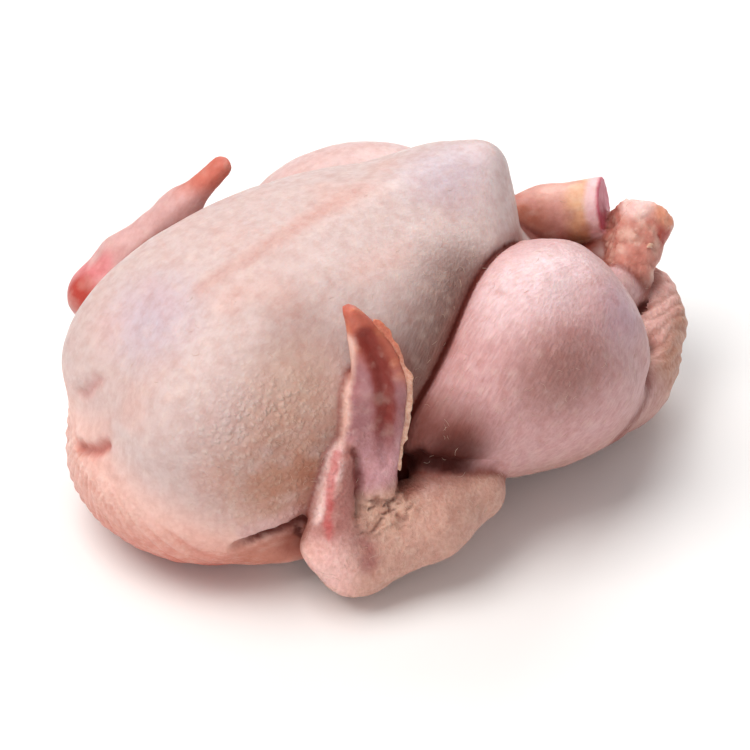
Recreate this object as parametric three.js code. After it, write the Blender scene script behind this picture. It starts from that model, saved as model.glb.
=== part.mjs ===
// A whole raw chicken, oven-ready: plucked, drawn, lying on its back with the breast up.
//
// The carcass is one piece of food, so it is one closed solid. Both wings are folded at the side of the
// breast with their tips standing up, the thighs and drumsticks are tucked against the breast's tail end,
// and the two cut hocks meet above the tail. The neck skin is folded under the front.
//
// Millimetres. +X runs from the neck to the tail, +Y to the bird's left side, +Z up from back to breast.
// The origin is under the middle of the bird, on the surface that it lies on.
//
// Each muscle or limb is a rounded form: an egg, or a limb that tapers between two joints. A form is a
// function that gives a point's distance from its skin, negative inside, and neighbouring forms melt into
// each other over a stated width, as muscles do under one skin. The solid is the surface where the distance
// is zero.
import * as THREE from "three";

// Driving dimensions.
const BIRD_LENGTH = 240; // neck skin to tail
const MODELLED_LENGTH = 240; // the length at which the places and sizes below are given
const FACET = 5.4; // spacing of the mesh that is laid over the forms

// Where the breast stops, short of the tail: two planes that taper it like a bow, one for each leg, given by
// a place on each and the way that it faces. A third slopes the back's tail end down below the breast.
const NEAR_BREAST_END = { at: [62, 0, 97], facing: [0.809, -0.588, 0.1] };
const FAR_BREAST_END = { at: [66, 4, 97], facing: [0.9, 0.436, 0.2] };
const BELLY_SLOPE = { at: [70, 0, 57], facing: [0.5, 0, 0.87] };

// Widths over which neighbouring forms melt together.
const FRONT_SKIN = 30;
const NECK_SKIN = 20;
const TIGHT_SKIN = 16;
const LOOSE_SKIN = 12;
const SOFT_FOLD = 4;
const CREASE = 3;

// Joints of the wings and legs. "Near" is the bird's right, at -Y, and "far" its left, at +Y.
const NEAR_WING = {
  shoulder: [-60, -42, 20],
  elbow: [-6, -52, 19],
  foldedElbow: [-10.4, -70.4, 28.5],
  forearm: [-29, -70.4, 25.6],
  wrist: [-54.1, -63.6, 18.4],
  knuckle: [-54, -64, 18],
  palm: [-52, -63, 28],
  handBase: [-49.3, -62.7, 27],
  tip: [-47.6, -50.3, 108.3],
  edgeFoot: [-52.9, -59.9, 57.6],
  edgeTop: [-48.5, -55.7, 76],
  thumbBase: [-64.6, -64.5, 27],
  thumbTip: [-56.8, -57.5, 55.4],
};
const FAR_WING = {
  shoulder: [-60, 46, 34],
  elbow: [5, 56, 40],
  foldedElbow: [5, 62, 38],
  wrist: [-62, 75, 49],
  knuckle: [-68, 77, 51],
  thumb: [-56, 78, 60.5],
  finger: [-36, 70, 79.5],
  tip: [-23, 62, 96],
};
// A hock's joints are given with the radius at each, and its cut with the way that it faces.
const NEAR_HOCK = {
  joints: [[[96.6, -25.3, 48.7], 8.5], [[115.5, -10.8, 61.2], 11.8]],
  cut: [0.75, 0.5, 0.4],
  looseSkin: [[107, -8.5, 52.6], [112.1, -4.1, 58.2], 6, 4.4],
};
const FAR_HOCK = {
  joints: [[[71.5, 16.3, 59.3], 9.5], [[87.8, 12.9, 60.2], 10.5], [[107.7, 1.7, 62], 11.6]],
  cut: [0.66, -0.72, 0.2],
};
// The dip between the near drumstick and thigh, and the flat that slopes from the drumstick to its shank.
const NEAR_LEG_DIP = [[31, -69, 90], [37, -77, 83], [45, -81, 73], [55, -80, 60]];
const NEAR_LEG_FLAT = { at: [77.4, -43.7, 61.9], facing: [0.873, -0.279, 0.396] };

// Turns a point by an angle in degrees in the plane of two of its coordinates.
function turned(point, first, second, degrees) {
  const angle = THREE.MathUtils.degToRad(degrees);
  const [a, b] = [point[first], point[second]];
  point[first] = a * Math.cos(angle) + b * Math.sin(angle);
  point[second] = b * Math.cos(angle) - a * Math.sin(angle);
}

// An egg-shaped muscle. Yaw swings its tail end towards +Y, and pitch lifts it.
function egg(point, centre, half, { yaw = 0, pitch = 0 } = {}) {
  const local = point.map((value, i) => value - centre[i]);
  turned(local, 0, 1, yaw);
  turned(local, 0, 2, pitch);
  const share = Math.hypot(...local.map((value, i) => value / half[i]));
  const slope = Math.hypot(...local.map((value, i) => value / half[i] ** 2));
  return (share * (share - 1)) / Math.max(slope, 1e-6);
}

// A limb between two joints, round in section, whose radius changes evenly from one to the other.
function limb(point, from, to, startRadius, endRadius) {
  const axis = to.map((value, i) => value - from[i]);
  const offset = point.map((value, i) => value - from[i]);
  const along = offset.reduce((sum, value, i) => sum + value * axis[i], 0) / Math.hypot(...axis) ** 2;
  const share = THREE.MathUtils.clamp(along, 0, 1);
  const away = Math.hypot(...offset.map((value, i) => value - share * axis[i]));
  return away - THREE.MathUtils.lerp(startRadius, endRadius, share);
}

// A limb over several joints, each given with its radius.
function chain(point, joints, width) {
  const limbs = joints.slice(1).map(([to, end], i) => limb(point, joints[i][0], to, joints[i][1], end));
  return limbs.reduce((whole, next) => melt(whole, next, width));
}

// A flat hand that stands on its base and narrows to its tip, bowed to one side on the way.
function blade(point, base, tip, side, { halfWidth, halfThickness, bow }) {
  const TIP_WIDTH = 2.5;
  const TIP_THICKNESS = 3.2;
  const long = new THREE.Vector3(...tip).sub(new THREE.Vector3(...base));
  const length = long.length();
  long.normalize();
  const across = new THREE.Vector3(...side).addScaledVector(long, -long.dot(new THREE.Vector3(...side)));
  across.normalize();
  const through = new THREE.Vector3().crossVectors(long, across);
  const offset = new THREE.Vector3(...point).sub(new THREE.Vector3(...base));
  const height = offset.dot(long);
  const share = THREE.MathUtils.clamp(height / length, 0, 1);
  const width = TIP_WIDTH + (halfWidth - TIP_WIDTH) * (1 - share ** 6) ** 1.3;
  const thickness = THREE.MathUtils.lerp(halfThickness, TIP_THICKNESS, share);
  const sideways = offset.dot(across) - bow * Math.sin(Math.PI * share ** 1.8);
  const flat = (Math.hypot(sideways / width, offset.dot(through) / thickness) - 1) * thickness * 1.2;
  return trim(flat, Math.max(height - length, -height), 2);
}

// How far a point lies beyond a plane, on the side that the plane faces.
function beyond(point, at, facing) {
  const direction = new THREE.Vector3(...facing).normalize();
  return new THREE.Vector3(...point).sub(new THREE.Vector3(...at)).dot(direction);
}

// How far a soft valley along a line presses in the skin at a point.
function valley(point, line, width, depth) {
  const nearest = Math.min(...line.slice(1).map((to, i) => limb(point, line[i], to, 0, 0)));
  return depth * Math.exp(-((nearest / width) ** 2));
}

// Two forms melted into one over a width, and what they have in common, melted likewise.
function melt(a, b, width) {
  const share = THREE.MathUtils.clamp(0.5 + (b - a) / (2 * width), 0, 1);
  return THREE.MathUtils.lerp(b, a, share) - width * share * (1 - share);
}
const trim = (a, b, width) => -melt(-a, -b, width);

// The back, which carries everything else.
function trunk(point) {
  const plump = egg(point, [-8, 2, 38], [104, 58, 40]);
  return trim(plump, beyond(point, BELLY_SLOPE.at, BELLY_SLOPE.facing), 12);
}

// The breast: two long muscles side by side over the keel bone, and a blunt end towards the legs.
function breast(point) {
  const right = egg(point, [-22, -14, 64], [89, 42, 42], { yaw: 5, pitch: 2 });
  const left = egg(point, [-22, 16, 64], [89, 42, 42], { yaw: -5, pitch: 2 });
  const keel = limb(point, [-68, 0, 84], [48, 0, 99], 12, 10);
  const crown = egg(point, [34, 4, 78], [34, 32, 30]);
  const whole = melt(melt(melt(right, left, 20), keel, 14), crown, 10);
  const nearEnd = beyond(point, NEAR_BREAST_END.at, NEAR_BREAST_END.facing);
  const farEnd = beyond(point, FAR_BREAST_END.at, FAR_BREAST_END.facing);
  return trim(trim(whole, nearEnd, 12), farEnd, 12);
}

// The neck's skin, folded under the front, and how it fills out the near side below the breast.
function neckSkin(point) {
  return egg(point, [-86, 5, 25.5], [29, 39, 21]);
}
function frontSkin(point) {
  return egg(point, [-72, -21, 36], [29, 24, 21], { yaw: -30 });
}

// Loose skin over the near shoulder.
function shoulderSkin(point) {
  return egg(point, [-64, -32, 17], [27, 20, 12], { yaw: -22 });
}

// The belly, behind the keel, and the rump below it.
function belly(point) {
  return egg(point, [52, 4, 45], [32, 28, 19]);
}
function rump(point) {
  return egg(point, [78, -6, 26], [42, 44, 25]);
}

// A leg lies folded, with the drumstick above the thigh and its knee against the breast.
function nearLeg(point) {
  const plump = egg(point, [34.6, -50, 57], [46, 37, 38], { yaw: 24, pitch: -18 });
  const drumstick = trim(plump, beyond(point, NEAR_LEG_FLAT.at, NEAR_LEG_FLAT.facing), 10);
  const knee = egg(point, [3, -53, 47], [35, 23, 25], { yaw: 8 });
  const thigh = egg(point, [43, -46, 34], [40, 29, 24], { yaw: 8 });
  const muscles = melt(melt(drumstick, knee, 18), thigh, LOOSE_SKIN);
  const dip = valley(point, NEAR_LEG_DIP, 7, 2.4);
  const shank = limb(point, [66, -34, 50], [96, -26, 46], 13, 8);
  return melt(muscles + dip, shank, SOFT_FOLD);
}

function farLeg(point) {
  const drumstick = egg(point, [27, 48, 49], [48, 36, 42], { yaw: -22 });
  const thigh = egg(point, [46, 50, 28], [46, 32, 28], { yaw: -8 });
  const shank = limb(point, [56, 42, 48], [88, 18, 55], 19, 9);
  return melt(melt(drumstick, shank, 14), thigh, 14);
}

// The tail, with the fold of skin that runs to it round the near thigh.
function tail(point) {
  const fold = [[[71, -49, 22], 15.5], [[88, -40.6, 26], 15.2], [[103.1, -29.4, 27.3], 14]];
  const overThigh = limb(point, [52, -61, 32], [78, -52, 27], 15, 13.5);
  return melt(chain(point, [...fold, [[111.2, -19.7, 30.9], 12]], 8), overThigh, 6);
}

// A hock is the drumstick's bare end, cut straight through the joint, with any loose skin that clings to it.
function hock(point, { joints, cut, looseSkin }) {
  const [end] = joints.at(-1);
  const bone = chain(point, joints, 4);
  const clad = looseSkin ? melt(bone, limb(point, ...looseSkin), 4) : bone;
  return trim(clad, beyond(point, end, cut), 1.2);
}

// The skin between the two hocks.
function web(point) {
  return limb(point, [90, -4, 42], [109, -9, 50], 8, 7);
}

// The near wing is folded: upper arm back along the body, forearm forward, and the flat hand standing up.
function nearWing(point) {
  const { shoulder, elbow, foldedElbow, forearm, wrist } = NEAR_WING;
  const { knuckle, palm, handBase, tip, edgeFoot, edgeTop, thumbBase, thumbTip } = NEAR_WING;
  const upperArm = limb(point, shoulder, elbow, 11, 12);
  const lowerArm = chain(point, [[foldedElbow, 11.2], [forearm, 13.4], [wrist, 15.2]], 8);
  const heel = limb(point, knuckle, palm, 13.5, 10);
  const hand = { halfWidth: 10.3, halfThickness: 7, bow: 8 };
  const fingers = blade(point, handBase, tip, [0.81, -0.59, 0], hand);
  const leadingEdge = limb(point, edgeFoot, edgeTop, 4.2, 3.8);
  const thumb = limb(point, thumbBase, thumbTip, 10.4, 5);
  const arm = melt(upperArm, lowerArm, CREASE);
  const flatHand = melt(melt(heel, fingers, SOFT_FOLD), leadingEdge, 3);
  return melt(melt(arm, flatHand, SOFT_FOLD), thumb, 5);
}

// The far wing is folded the same way, higher up, with its hand laid back along the breast.
function farWing(point) {
  const { shoulder, elbow, foldedElbow, wrist, knuckle, thumb, finger, tip } = FAR_WING;
  const upperArm = limb(point, shoulder, elbow, 17, 16);
  const lowerArm = limb(point, foldedElbow, wrist, 13, 13);
  const hand = chain(point, [[knuckle, 11], [thumb, 8.8], [finger, 6], [tip, 4.2]], 6);
  return melt(melt(upperArm, lowerArm, SOFT_FOLD), hand, 5);
}

// The whole carcass, resting on its flattened back.
function carcass(point) {
  let skin = melt(trunk(point), breast(point), TIGHT_SKIN);
  skin = melt(skin, neckSkin(point), NECK_SKIN);
  skin = melt(skin, frontSkin(point), FRONT_SKIN);
  skin = melt(skin, shoulderSkin(point), SOFT_FOLD);
  skin = melt(skin, belly(point), LOOSE_SKIN);
  skin = melt(skin, rump(point), LOOSE_SKIN);
  for (const fold of [nearLeg, farLeg, tail]) skin = melt(skin, fold(point), CREASE);
  skin = melt(skin, web(point), SOFT_FOLD);
  for (const bone of [FAR_HOCK, NEAR_HOCK]) skin = melt(skin, hock(point, bone), CREASE);
  skin = melt(skin, nearWing(point), CREASE);
  skin = melt(skin, farWing(point), SOFT_FOLD);
  return Math.max(skin, -point[2]);
}

// A form's distances at the corners of a cubic grid, and each corner's place in the list of them.
function sampled(form, low, high, step) {
  const size = low.map((value, i) => Math.ceil((high[i] - value) / step) + 1);
  const at = ([i, j, k]) => (i * size[1] + j) * size[2] + k;
  const corners = [];
  for (let i = 0; i < size[0]; i++)
    for (let j = 0; j < size[1]; j++)
      for (let k = 0; k < size[2]; k++) corners.push([i, j, k]);
  const distance = corners.map((corner) => form(corner.map((value, i) => low[i] + value * step)));
  return { size, at, corners, distance };
}

// In a crease as narrow as the grid, the skin can pinch to a line or a point: to a line in a square whose
// corners are inside and outside by turns, and to a point in a cell where only two opposite corners differ
// from the rest. One outside corner of each such square or cell is pulled just inside instead.
function closePinches({ size, at, corners, distance }) {
  const JUST_INSIDE = -0.1;
  const SQUARES = [[1, 1, 0], [0, 1, 1], [1, 0, 1]];
  const CELL = [0, 1, 2, 3, 4, 5, 6, 7].map((n) => [n & 1, (n >> 1) & 1, n >> 2]);
  const moved = (corner, by) => corner.map((value, i) => value + by[i]);
  const inside = (corner) => distance[at(corner)] < 0;
  let pinches = 0;
  const fill = (places) => {
    distance[at(places.find((place) => !inside(place)))] = JUST_INSIDE;
    pinches += 1;
  };
  for (const corner of corners) {
    if (corner.some((value, i) => value + 1 >= size[i])) continue;
    for (const across of SQUARES) {
      const first = across.map((value, i) => (i === across.indexOf(1) ? value : 0));
      const second = across.map((value, i) => value - first[i]);
      const places = [[0, 0, 0], first, across, second].map((by) => moved(corner, by));
      const [a, b, c, d] = places.map(inside);
      if (a === c && b === d && a !== b) fill(places);
    }
    const cell = CELL.map((by) => moved(corner, by));
    for (const number of [0, 1, 2, 4]) {
      const lone = inside(cell[number]);
      const alike = cell.filter((place) => inside(place) === lone).length;
      if (alike === 2 && inside(cell[7 - number]) === lone) fill(cell);
    }
  }
  return pinches;
}

// Lays a closed mesh over a form. Every cell of a cubic grid that the surface passes through gets one point,
// at the mean of the places where it crosses the cell's edges, and every crossed grid edge gets one
// four-sided face between the four cells round it.
function skinOver(form, low, high, step) {
  const grid = sampled(form, low, high, step);
  while (closePinches(grid) > 0);
  const { size, at, corners, distance } = grid;
  const cells = new Map(); // by its first corner: its crossings' sum and count, and its own number
  const faces = [];
  for (const corner of corners)
    for (let axis = 0; axis < 3; axis++) {
      const next = [...corner];
      next[axis] += 1;
      const [side, other] = [(axis + 1) % 3, (axis + 2) % 3];
      if (next[axis] >= size[axis] || corner[side] < 1 || corner[other] < 1) continue;
      const [here, there] = [distance[at(corner)], distance[at(next)]];
      if (here < 0 === there < 0) continue;
      const crossing = [...corner];
      crossing[axis] += here / (here - there);
      const round = [[0, 0], [-1, 0], [-1, -1], [0, -1]].map(([a, b]) => {
        const cell = [...corner];
        cell[side] += a;
        cell[other] += b;
        const key = at(cell);
        if (!cells.has(key)) cells.set(key, { sum: new THREE.Vector3(), count: 0, number: cells.size });
        const found = cells.get(key);
        found.sum.add(new THREE.Vector3(...crossing));
        found.count += 1;
        return found.number;
      });
      if (here >= 0) round.reverse();
      faces.push(round[0], round[1], round[2], round[0], round[2], round[3]);
    }

  const points = [];
  for (const { sum, count } of cells.values()) {
    const place = sum.divideScalar(count).multiplyScalar(step).add(new THREE.Vector3(...low));
    points.push(place.x, place.y, place.z);
  }
  return new THREE.BufferGeometry()
    .setAttribute("position", new THREE.Float32BufferAttribute(points, 3))
    .setIndex(faces);
}

// Sets a geometry at its real size over the middle of the ground that it covers.
function settled(geometry) {
  const grown = BIRD_LENGTH / MODELLED_LENGTH;
  geometry.scale(grown, grown, grown);
  geometry.computeBoundingBox();
  const { min, max } = geometry.boundingBox;
  return geometry.translate(-(min.x + max.x) / 2, -(min.y + max.y) / 2, -min.z);
}

const rawSkin = new THREE.MeshStandardMaterial({ color: 0xe0bdb1, roughness: 0.42, metalness: 0 });
rawSkin.name = "raw_skin";
const surface = skinOver(carcass, [-135, -100, -FACET / 2], [142, 110, 120], FACET);
const chicken = new THREE.Mesh(settled(surface), rawSkin);
chicken.name = "chicken";

const part = new THREE.Group();
part.add(chicken);
export default part;
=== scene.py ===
import math

import bpy
import numpy as np
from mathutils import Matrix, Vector


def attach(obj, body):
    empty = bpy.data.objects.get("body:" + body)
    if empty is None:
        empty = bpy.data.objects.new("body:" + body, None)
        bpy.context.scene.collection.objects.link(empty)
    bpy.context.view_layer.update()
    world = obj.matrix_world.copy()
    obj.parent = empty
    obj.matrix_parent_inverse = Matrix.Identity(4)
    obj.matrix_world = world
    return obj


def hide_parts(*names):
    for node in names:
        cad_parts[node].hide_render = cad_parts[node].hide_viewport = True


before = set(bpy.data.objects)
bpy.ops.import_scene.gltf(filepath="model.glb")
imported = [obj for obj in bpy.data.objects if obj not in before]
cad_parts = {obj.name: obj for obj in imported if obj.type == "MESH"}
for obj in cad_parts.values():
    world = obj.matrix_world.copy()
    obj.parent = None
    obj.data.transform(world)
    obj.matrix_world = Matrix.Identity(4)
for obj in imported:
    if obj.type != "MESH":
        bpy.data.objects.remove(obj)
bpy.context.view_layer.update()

# ---------------------------------------------------------------------------------------------------------
# The studio: a matt white tabletop, a big soft light over the bird's neck end and a weaker one on the near
# side, as in a studio for food. The camera looks down on the bird's right side from its neck end.
MM = 0.001
MIDDLE = (2.05, 0.0, 0.0)  # the middle of the bird, in the millimetres that its forms are given in


def place(x, y, z):
    """A place among the forms, in metres in the shared frame."""
    return Vector(((x - MIDDLE[0]) * MM, (y - MIDDLE[1]) * MM, (z - MIDDLE[2]) * MM))


def aim(thing, spot):
    """Turns a light or a camera to look at a spot."""
    thing.rotation_euler = (spot - thing.location).to_track_quat("-Z", "Y").to_euler()


AZIMUTH, ELEVATION = math.radians(-36), math.radians(36)
DISTANCE = 0.9
LENS, SENSOR = 120, 36
aimed_at = place(0, 0, 31)
lens = bpy.data.cameras.new("camera")
lens.lens, lens.sensor_width, lens.clip_start = LENS, SENSOR, 0.02
camera = bpy.data.objects.new("camera", lens)
bpy.context.scene.collection.objects.link(camera)
camera.location = aimed_at + DISTANCE * Vector((math.sin(AZIMUTH) * math.cos(ELEVATION),
                                                -math.cos(AZIMUTH) * math.cos(ELEVATION),
                                                math.sin(ELEVATION)))
aim(camera, aimed_at)
bpy.context.scene.camera = camera
bpy.context.scene.view_settings.view_transform = "Standard"


def linear(code):
    """An sRGB hex colour as linear red, green, blue and full alpha."""
    parts = [int(code[i:i + 2], 16) / 255 for i in (1, 3, 5)]
    return [p / 12.92 if p <= 0.04045 else ((p + 0.055) / 1.055) ** 2.4 for p in parts] + [1.0]


def node(tree, kind, settings=None, **links):
    """Adds a shader node, sets its properties and fills its sockets with values or other nodes' outputs."""
    new = tree.nodes.new(kind)
    for name, value in (settings or {}).items():
        setattr(new, name, value)
    for name, value in links.items():
        label = name.replace("_", " ")
        socket = new.inputs[int(label[1:])] if label[0] == "i" and label[1:].isdigit() else new.inputs[label]
        if isinstance(value, bpy.types.NodeSocket):
            tree.links.new(value, socket)
        else:
            socket.default_value = value
    return new


def material(name):
    """A new material with an empty node tree and its output."""
    new = bpy.data.materials.new(name)
    new.use_nodes = True
    new.node_tree.nodes.clear()
    return new, new.node_tree, new.node_tree.nodes.new("ShaderNodeOutputMaterial")


def soft_light(name, spot, size, watts, tint):
    """A square lamp with a diffuser, aimed at the bird."""
    lamp = bpy.data.lights.new(name, "AREA")
    lamp.size, lamp.energy, lamp.color = size, watts, linear(tint)[:3]
    thing = bpy.data.objects.new(name, lamp)
    bpy.context.scene.collection.objects.link(thing)
    thing.location = place(*spot)
    aim(thing, aimed_at)


soft_light("key_light", (-330, 60, 700), 0.55, 5.0, "#fffaf6")
soft_light("fill_light", (-420, -620, 300), 0.60, 1.1, "#fff8f4")
soft_light("back_light", (520, 380, 520), 0.45, 3.0, "#ffffff")
world = bpy.data.worlds.new("studio")
bpy.context.scene.world = world
world.use_nodes = True
world.node_tree.nodes["Background"].inputs["Color"].default_value = linear("#ffffff")
world.node_tree.nodes["Background"].inputs["Strength"].default_value = 0.34

floor_mesh = bpy.data.meshes.new("floor")
reach = 3.0
floor_mesh.from_pydata([(-reach, -reach, 0), (reach, -reach, 0), (reach, reach, 0), (-reach, reach, 0)], [],
                       [(0, 1, 2, 3)])
floor = bpy.data.objects.new("floor", floor_mesh)
bpy.context.scene.collection.objects.link(floor)
white_paper, tree, out = material("matt_white_paper")
paper = node(tree, "ShaderNodeBsdfPrincipled", Base_Color=linear("#fbfbfb"), Roughness=0.9)
tree.links.new(paper.outputs[0], out.inputs["Surface"])
floor_mesh.materials.append(white_paper)

# ---------------------------------------------------------------------------------------------------------
# The carcass: one bird of muscle and bone under one skin. Its forms run into each other without a seam, so
# each is a distance worked out over a whole grid of points at once, not a sheet. The distances are melted
# together, and one closed surface is laid where they come to nothing.
def egg(p, centre, half, yaw=0.0, pitch=0.0):
    """An ellipsoid: (k - 1) * k / slope, where k is how many times too far out a point lies."""
    x, y, z = (p[i] - centre[i] for i in range(3))
    s, c = math.sin(math.radians(yaw)), math.cos(math.radians(yaw))
    x, y = x * c + y * s, y * c - x * s
    s, c = math.sin(math.radians(pitch)), math.cos(math.radians(pitch))
    x, z = x * c + z * s, z * c - x * s
    k = np.sqrt((x / half[0]) ** 2 + (y / half[1]) ** 2 + (z / half[2]) ** 2)
    slope = np.sqrt((x / half[0] ** 2) ** 2 + (y / half[1] ** 2) ** 2 + (z / half[2] ** 2) ** 2)
    return k * (k - 1) / np.maximum(slope, 1e-6)


def limb(p, start, end, start_radius, end_radius):
    """A tapering limb: distance from the line between two joints, less a radius that changes along it."""
    axis = np.subtract(end, start)
    off = [p[i] - start[i] for i in range(3)]
    share = np.clip(sum(off[i] * axis[i] for i in range(3)) / (axis @ axis), 0, 1)
    away = np.sqrt(sum((off[i] - share * axis[i]) ** 2 for i in range(3)))
    return away - (start_radius + share * (end_radius - start_radius))


def melt(a, b, width):
    """The smaller of two distances, rounded by a parabola where they differ by less than the width."""
    share = np.clip(0.5 + (b - a) / (2 * width), 0, 1)
    return b + (a - b) * share - width * share * (1 - share)


def trim(a, b, width):
    """The larger of two distances, rounded likewise: what two forms have in common."""
    return -melt(-a, -b, width)


def chain(p, joints, width):
    """Limbs from joint to joint, each given as (place, radius), melted together."""
    whole = None
    for (start, r0), (end, r1) in zip(joints, joints[1:]):
        piece = limb(p, start, end, r0, r1)
        whole = piece if whole is None else melt(whole, piece, width)
    return whole


def blade(p, base, tip, side, width, thickness, bow):
    """A flat hand: an ellipse across, that narrows as (1 - s^6)^1.3 with the share s of its height."""
    tip_width, tip_thickness = 2.5, 3.2
    along = np.subtract(tip, base)
    length = np.linalg.norm(along)
    along = along / length
    across = np.asarray(side, float) - along * (along @ np.asarray(side, float))
    across /= np.linalg.norm(across)
    through = np.cross(along, across)
    off = [p[i] - base[i] for i in range(3)]
    height, sideways, depth = (sum(off[i] * axis[i] for i in range(3)) for axis in (along, across, through))
    share = np.clip(height / length, 0, 1)
    sideways = sideways - bow * np.sin(np.pi * share ** 1.8)
    wide = tip_width + (width - tip_width) * (1 - share ** 6) ** 1.3
    thick = thickness + (tip_thickness - thickness) * share
    flat = (np.sqrt((sideways / wide) ** 2 + (depth / thick) ** 2) - 1) * thick * 1.2
    return trim(flat, np.maximum(height - length, -height), 2)


def from_line(p, line):
    """Distance from a line through several places."""
    return np.minimum.reduce([limb(p, a, b, 0, 0) for a, b in zip(line, line[1:])])


def valley(p, line, width, depth):
    """How far a soft valley along a line presses the skin in: depth * exp(-(distance / width)^2)."""
    return depth * np.exp(-(from_line(p, line) / width) ** 2)


def beyond(p, at, facing):
    """Distance beyond a plane, on the side that it faces."""
    facing = np.array(facing) / np.linalg.norm(facing)
    return sum((p[i] - at[i]) * facing[i] for i in range(3))


TIGHT_SKIN, LOOSE_SKIN, SOFT_FOLD, CREASE = 16, 12, 4, 3  # widths over which neighbouring forms melt
NEAR_HOCK = {"joints": [((96.6, -25.3, 48.7), 8.5), ((115.5, -10.8, 61.2), 11.8)], "cut": (0.75, 0.5, 0.4),
             "loose_skin": ((107, -8.5, 52.6), (112.1, -4.1, 58.2), 6, 4.4)}
FAR_HOCK = {"joints": [((71.5, 16.3, 59.3), 9.5), ((87.8, 12.9, 60.2), 10.5), ((107.7, 1.7, 62), 11.6)],
            "cut": (0.66, -0.72, 0.2)}
HAND = {"base": (-49.3, -62.7, 27), "tip": (-47.6, -50.3, 108.3), "side": (0.81, -0.59, 0), "width": 10.3,
        "thickness": 7, "bow": 8}
THUMB = (-64.6, -64.5, 27), (-56.8, -57.5, 55.4), 10.4, 5


def breast(p):
    """Two long muscles over the keel bone, cut off bluntly towards the legs."""
    right = egg(p, (-22, -14, 64), (89, 42, 42), yaw=5, pitch=2)
    left = egg(p, (-22, 16, 64), (89, 42, 42), yaw=-5, pitch=2)
    keel = limb(p, (-68, 0, 84), (48, 0, 99), 12, 10)
    crown = egg(p, (34, 4, 78), (34, 32, 30))
    whole = melt(melt(melt(right, left, 20), keel, 14), crown, 10)
    near_end = beyond(p, (62, 0, 97), (0.809, -0.588, 0.1))
    far_end = beyond(p, (66, 4, 97), (0.9, 0.436, 0.2))
    return trim(trim(whole, near_end, 12), far_end, 12)


def near_leg(p):
    """Drumstick above thigh, the knee against the breast, and a soft dip between the two muscles."""
    drumstick = trim(egg(p, (34.6, -50, 57), (46, 37, 38), yaw=24, pitch=-18),
                     beyond(p, (77.4, -43.7, 61.9), (0.873, -0.279, 0.396)), 10)
    knee = egg(p, (3, -53, 47), (35, 23, 25), yaw=8)
    thigh = egg(p, (43, -46, 34), (40, 29, 24), yaw=8)
    muscles = melt(melt(drumstick, knee, 18), thigh, LOOSE_SKIN)
    muscles = muscles + valley(p, [(31, -69, 90), (37, -77, 83), (45, -81, 73), (55, -80, 60)], 7, 2.4)
    return melt(muscles, limb(p, (66, -34, 50), (96, -26, 46), 13, 8), SOFT_FOLD)


def far_leg(p):
    """The same leg on the far side."""
    drumstick = egg(p, (27, 48, 49), (48, 36, 42), yaw=-22)
    thigh = egg(p, (46, 50, 28), (46, 32, 28), yaw=-8)
    shank = limb(p, (56, 42, 48), (88, 18, 55), 19, 9)
    return melt(melt(drumstick, shank, 14), thigh, 14)


def tail(p):
    """The tail, with the fold of skin that runs to it from the near thigh."""
    joints = [((71, -49, 22), 15.5), ((88, -40.6, 26), 15.2), ((103.1, -29.4, 27.3), 14)]
    over_thigh = limb(p, (52, -61, 32), (78, -52, 27), 15, 13.5)
    return melt(chain(p, joints + [((111.2, -19.7, 30.9), 12)], 8), over_thigh, 6)


def hock(p, bone):
    """A drumstick's bare end, cut straight through the joint, with any loose skin that clings to it."""
    clad = chain(p, bone["joints"], 4)
    if "loose_skin" in bone:
        clad = melt(clad, limb(p, *bone["loose_skin"]), 4)
    return trim(clad, beyond(p, bone["joints"][-1][0], bone["cut"]), 1.2)


def near_wing(p):
    """Upper arm back, forearm forward, the flat hand standing up, and the small thumb in front of it."""
    upper_arm = limb(p, (-60, -42, 20), (-6, -52, 19), 11, 12)
    elbow_to_wrist = [((-10.4, -70.4, 28.5), 11.2), ((-29, -70.4, 25.6), 13.4), ((-54.1, -63.6, 18.4), 15.2)]
    forearm = chain(p, elbow_to_wrist, 8)
    heel = limb(p, (-54, -64, 18), (-52, -63, 28), 13.5, 10)
    leading_edge = limb(p, (-52.9, -59.9, 57.6), (-48.5, -55.7, 76), 4.2, 3.8)
    flat_hand = melt(melt(heel, blade(p, **HAND), SOFT_FOLD), leading_edge, 3)
    return melt(melt(melt(upper_arm, forearm, CREASE), flat_hand, SOFT_FOLD), limb(p, *THUMB), 5)


def far_wing(p):
    """The far wing, folded the same way, its hand laid back along the breast."""
    upper_arm = limb(p, (-60, 46, 34), (5, 56, 40), 17, 16)
    forearm = limb(p, (5, 62, 38), (-62, 75, 49), 13, 13)
    hand = [((-68, 77, 51), 11), ((-56, 78, 60.5), 8.8), ((-36, 70, 79.5), 6), ((-23, 62, 96), 4.2)]
    return melt(melt(upper_arm, forearm, SOFT_FOLD), chain(p, hand, 6), 5)


def body(p):
    """Trunk and breast, the skin folded under at the neck and over the shoulder, the belly and the rump."""
    trunk = trim(egg(p, (-8, 2, 38), (104, 58, 40)), beyond(p, (70, 0, 57), (0.5, 0, 0.87)), 12)
    skin = melt(trunk, breast(p), TIGHT_SKIN)
    skin = melt(skin, egg(p, (-86, 5, 25.5), (29, 39, 21)), 20)
    skin = melt(skin, egg(p, (-72, -21, 36), (29, 24, 21), yaw=-30), 30)
    skin = melt(skin, egg(p, (-64, -32, 17), (27, 20, 12), yaw=-22), SOFT_FOLD)
    skin = melt(skin, egg(p, (52, 4, 45), (32, 28, 19)), LOOSE_SKIN)
    return melt(skin, egg(p, (78, -6, 26), (42, 44, 25)), LOOSE_SKIN)


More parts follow.
